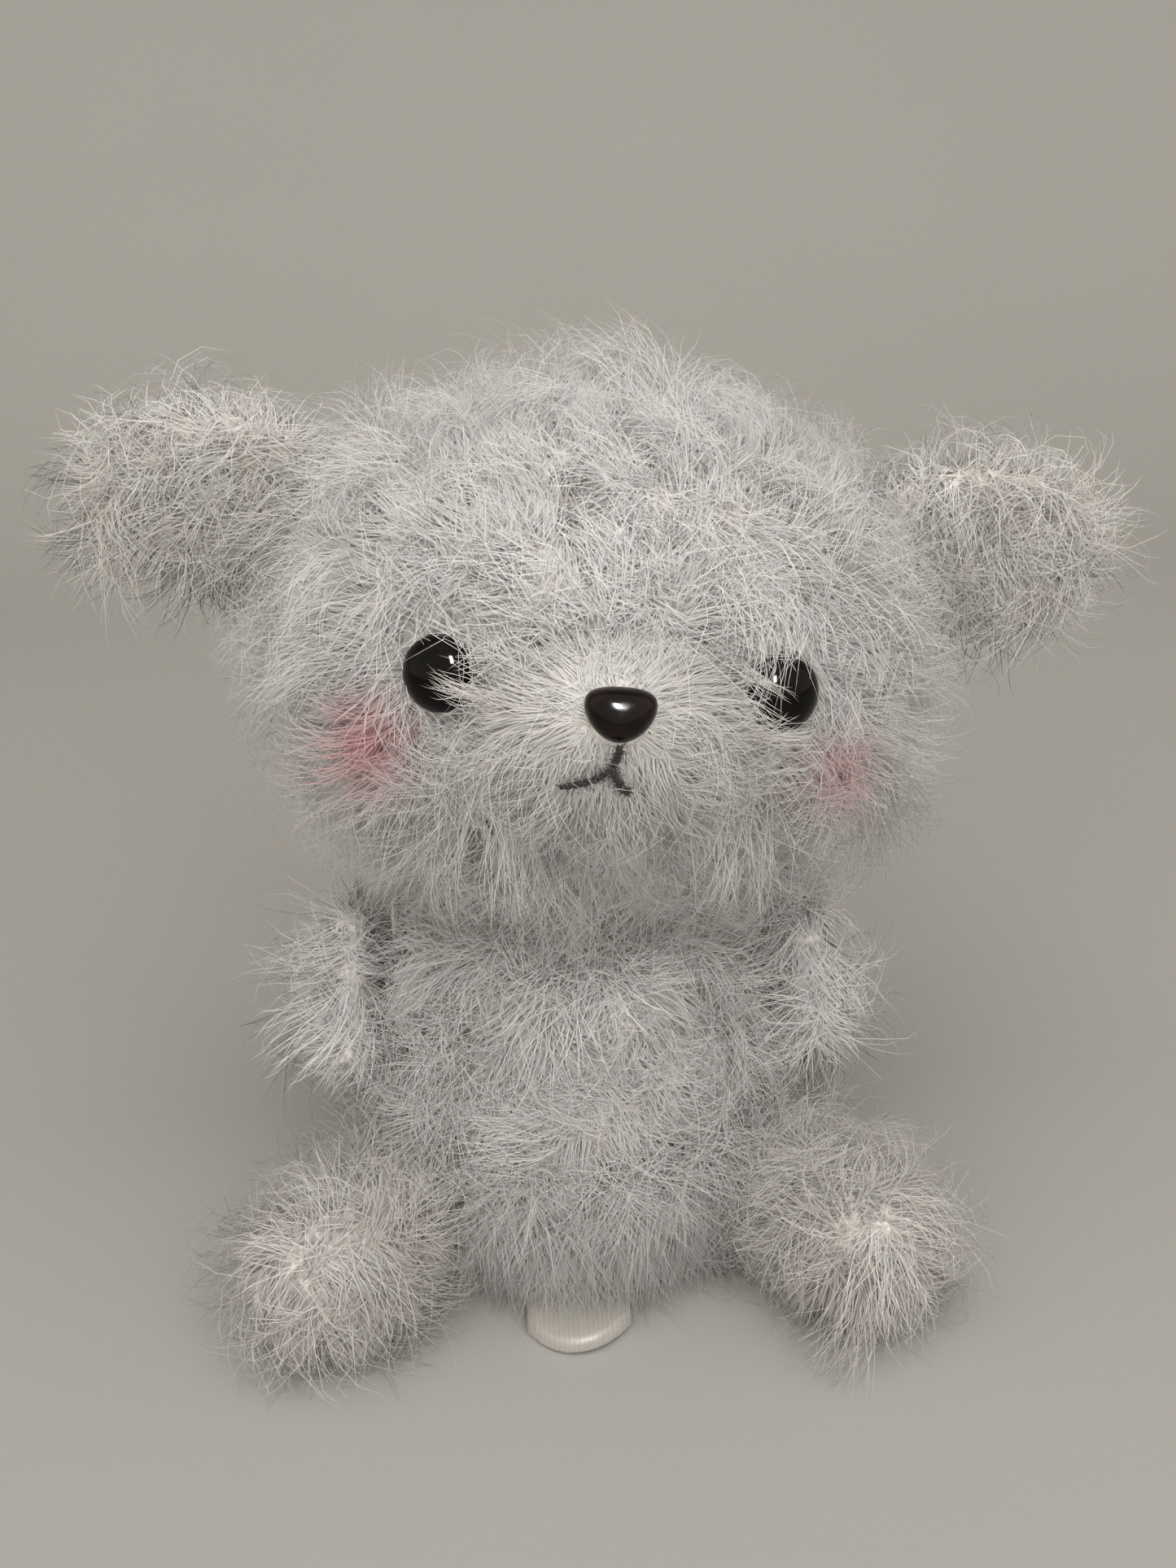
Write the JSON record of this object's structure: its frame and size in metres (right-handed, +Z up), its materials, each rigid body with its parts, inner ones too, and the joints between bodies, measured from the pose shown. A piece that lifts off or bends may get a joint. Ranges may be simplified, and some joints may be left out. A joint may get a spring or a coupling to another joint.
{
  "type": "plush dog",
  "caption": "Small sitting toy dog in long white fur pile, with a big round head, side ears, safety eyes and nose, stitched mouth and sewn-on limbs.",
  "frame": {"origin": "on the surface the dog sits on, under the middle of the body", "axes": "+Z up, the face looks along -Y, the dog's own left is +X"},
  "size_m": [0.1608, 0.1118, 0.1462],
  "materials": {
    "pile": "matte",
    "muzzle_pile": "matte",
    "lining": "matte",
    "stuffing": "matte",
    "seam_thread": "matte",
    "mouth_thread": "matte",
    "eye": "gloss",
    "nose": "gloss",
    "washer": "matte",
    "satin": "satin"
  },
  "bodies": {
    "body": {"body_cover": "pile", "body_stuffing": "stuffing", "arm_seam_left": "seam_thread", "arm_seam_right": "seam_thread"},
    "neck": {"neck_seam": "seam_thread"},
    "head": {"head_cover": "pile", "head_stuffing": "stuffing", "muzzle_cover": "muzzle_pile", "muzzle_stuffing": "stuffing", "eye_left": "eye", "eye_right": "eye", "eye_washer_left": "washer", "eye_washer_right": "washer", "nose": "nose", "nose_washer": "washer", "mouth_philtrum": "mouth_thread", "mouth_left": "mouth_thread", "mouth_right": "mouth_thread"},
    "ear_left": {"ear_left_lining": "lining", "ear_left_back": "pile"},
    "ear_right": {"ear_right_lining": "lining", "ear_right_back": "pile"},
    "arm_left": {"arm_left_cover": "pile", "arm_left_stuffing": "stuffing"},
    "arm_right": {"arm_right_cover": "pile", "arm_right_stuffing": "stuffing"},
    "leg_left": {"leg_left_cover": "pile", "leg_left_stuffing": "stuffing"},
    "leg_right": {"leg_right_cover": "pile", "leg_right_stuffing": "stuffing"},
    "tail": {"tail_cover": "pile", "tail_stuffing": "stuffing"},
    "tag": {"care_tag": "satin"}
  },
  "joints": [
    {"name": "head_turn", "type": "hinge", "parent": "body", "child": "neck", "pos_m": [0, 0, 0.059], "axis": [0, 0, 1], "range_deg": [-30, 30]},
    {"name": "head_nod", "type": "hinge", "parent": "neck", "child": "head", "pos_m": [0, 0, 0.059], "axis": [1, 0, 0], "range_deg": [-12, 10]},
    {"name": "ear_left_flap", "type": "hinge", "parent": "head", "child": "ear_left", "pos_m": [0.05316, -0.002, 0.12098], "axis": [-0.1908, 0, 0.9816], "range_deg": [-30, 25]},
    {"name": "ear_right_flap", "type": "hinge", "parent": "head", "child": "ear_right", "pos_m": [-0.03659, -0.002, 0.132], "axis": [-0.4226, 0, -0.9063], "range_deg": [-30, 25]},
    {"name": "arm_left_swing", "type": "hinge", "parent": "body", "child": "arm_left", "pos_m": [0.0394, -0.002, 0.055], "axis": [-1, 0, 0], "range_deg": [-5, 75]},
    {"name": "arm_right_swing", "type": "hinge", "parent": "body", "child": "arm_right", "pos_m": [-0.0394, -0.002, 0.055], "axis": [-1, 0, 0], "range_deg": [-5, 75]},
    {"name": "leg_left_splay", "type": "hinge", "parent": "body", "child": "leg_left", "pos_m": [0.0235, -0.011, 0.0133], "axis": [0, 0, 1], "range_deg": [-12, 20]},
    {"name": "leg_right_splay", "type": "hinge", "parent": "body", "child": "leg_right", "pos_m": [-0.0235, -0.011, 0.0133], "axis": [0, 0, -1], "range_deg": [-12, 20]},
    {"name": "tail_wag", "type": "hinge", "parent": "body", "child": "tail", "pos_m": [0, 0.033, 0.017], "axis": [0, 0, 1], "range_deg": [-30, 30]},
    {"name": "tag_lift", "type": "hinge", "parent": "body", "child": "tag", "pos_m": [-0.003, -0.026, 0.0016], "axis": [-1, 0, 0], "range_deg": [0, 25]}
  ]
}
